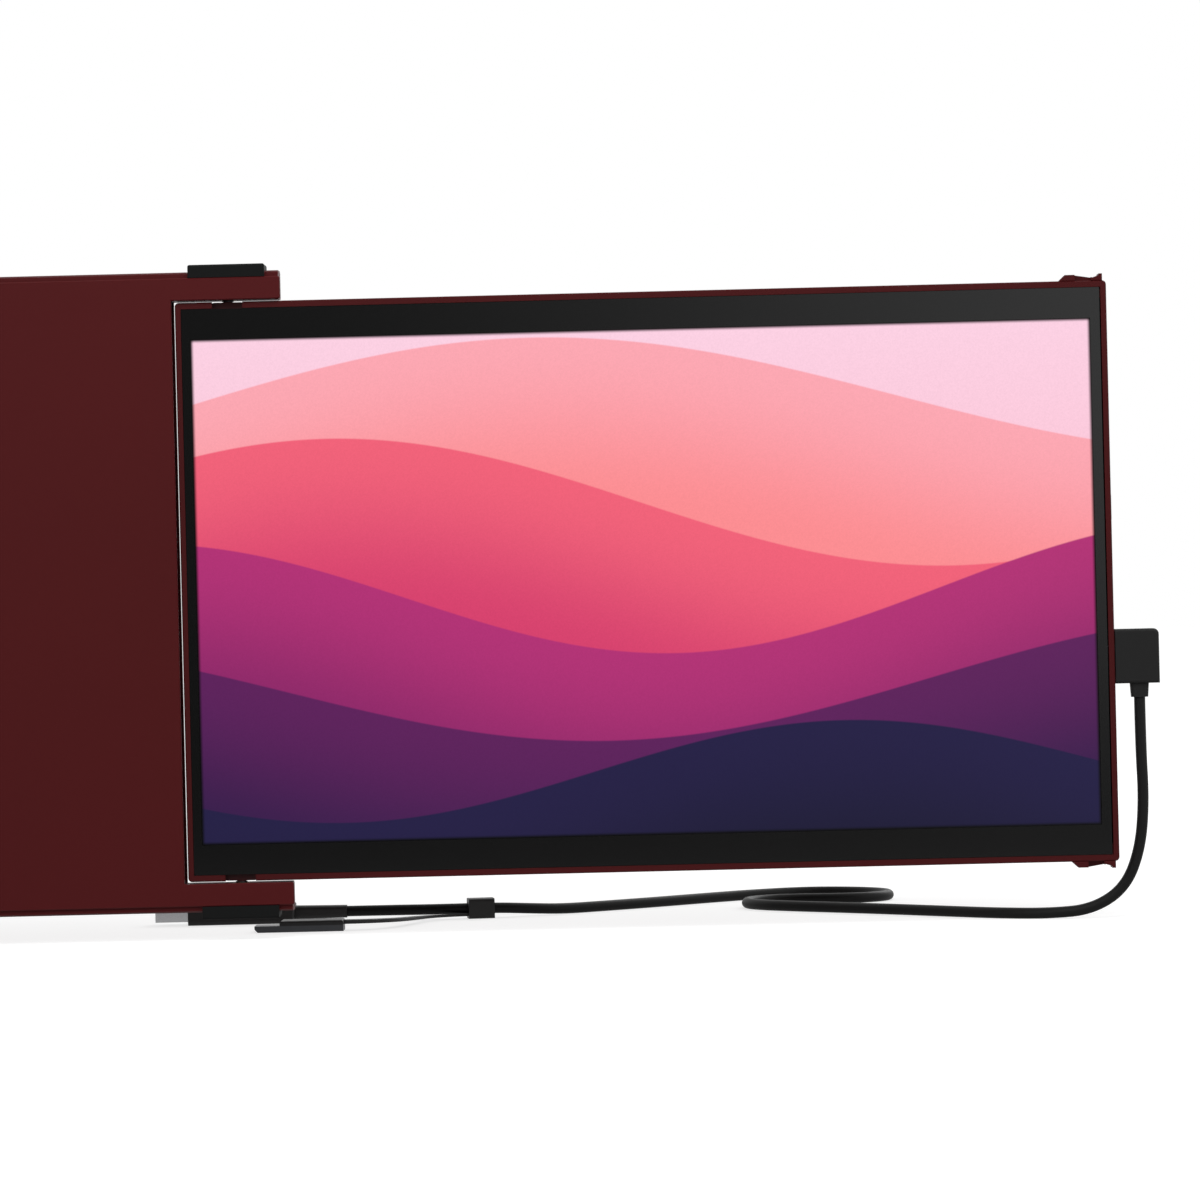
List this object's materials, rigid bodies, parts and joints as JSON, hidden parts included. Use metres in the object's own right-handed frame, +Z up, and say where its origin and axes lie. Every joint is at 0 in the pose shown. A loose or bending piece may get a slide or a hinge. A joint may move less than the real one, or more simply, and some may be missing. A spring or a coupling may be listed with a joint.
{
  "type": "laptop screen extender",
  "caption": "Slide-out second monitor in a sleeve for a laptop lid, swinging on pin hinges at two arms, with its USB cord and adapter.",
  "frame": {"origin": "centre of the sleeve's front face, which sticks to the back of a laptop's lid", "axes": "+X right along the monitor as it slides out, +Y away from the user, +Z up; the mounting face looks along -Y"},
  "size_m": [0.6105, 0.1763, 0.2346],
  "materials": {
    "shell": "satin dark maroon moulding",
    "monitor_case": "satin dark maroon moulding",
    "cap": "fine matt black",
    "carriage": "low-friction maroon moulding",
    "bezel": "smooth black",
    "screen": "lit picture behind an anti-glare face",
    "tray": "pressed sheet",
    "board": "printed circuit board",
    "ribbon": "flexible printed circuit",
    "magnet": "nickel plated",
    "steel": "plain steel",
    "plated": "nickel plated",
    "satin_metal": "satin grey",
    "bush": "sintered bearing metal",
    "glide": "low-friction felt tape",
    "moulding": "matt black moulded plastic",
    "cord": "smooth black jacket"
  },
  "bodies": {
    "sleeve": {"front_plate": "shell", "rear_panel": "shell", "upper_rail": "shell", "lower_rail": "shell", "end_rail": "shell", "lid_magnets": "magnet", "rear_panel_screws": "steel", "glide_strips": "glide", "upper_hinge_cap": "cap", "lower_hinge_cap": "cap", "cap_screws": "steel", "upper_hinge_bush": "bush", "lower_hinge_bush": "bush"},
    "hinge_carriage": {"upper_hinge_pin": "steel", "lower_hinge_pin": "steel", "upper_carriage": "carriage", "lower_carriage": "carriage", "friction_washers": "steel", "hinge_nuts": "steel"},
    "monitor": {"monitor_frame": "monitor_case", "monitor_rear_cover": "monitor_case", "rear_cover_plugs": "cap", "screen_bezel": "bezel", "display_panel": "screen", "backlight_unit": "tray", "controller_board": "board", "display_ribbon": "ribbon", "usb_port": "plated", "upper_end_stop": "monitor_case", "lower_end_stop": "monitor_case", "button_switch": "board", "monitor_plug_body": "moulding", "monitor_plug_tongue": "plated", "monitor_plug_neck": "moulding", "usb_cord": "cord", "tether_collar": "moulding", "far_plug_relief": "moulding", "far_plug_body": "moulding", "far_plug_shell": "plated", "adapter_body": "moulding", "adapter_shell": "satin_metal", "adapter_tether": "cord"},
    "power_key": {"power_button": "cap"}
  },
  "joints": [
    {"name": "monitor_swing", "type": "hinge", "parent": "sleeve", "child": "hinge_carriage", "pos_m": [0.15465, 0.0061, 0], "axis": [0, 0, 1], "range_deg": [-135, 135]},
    {"name": "monitor_slide", "type": "slide", "parent": "hinge_carriage", "child": "monitor", "axis": [1, 0, 0], "range_m": [-0.2695, 0]},
    {"name": "power_key_press", "type": "slide", "parent": "monitor", "child": "power_key", "axis": [-1, 0, 0], "range_m": [0, 0.0005], "stiffness_N_per_m": 2500, "springref_m": -0.0003}
  ]
}
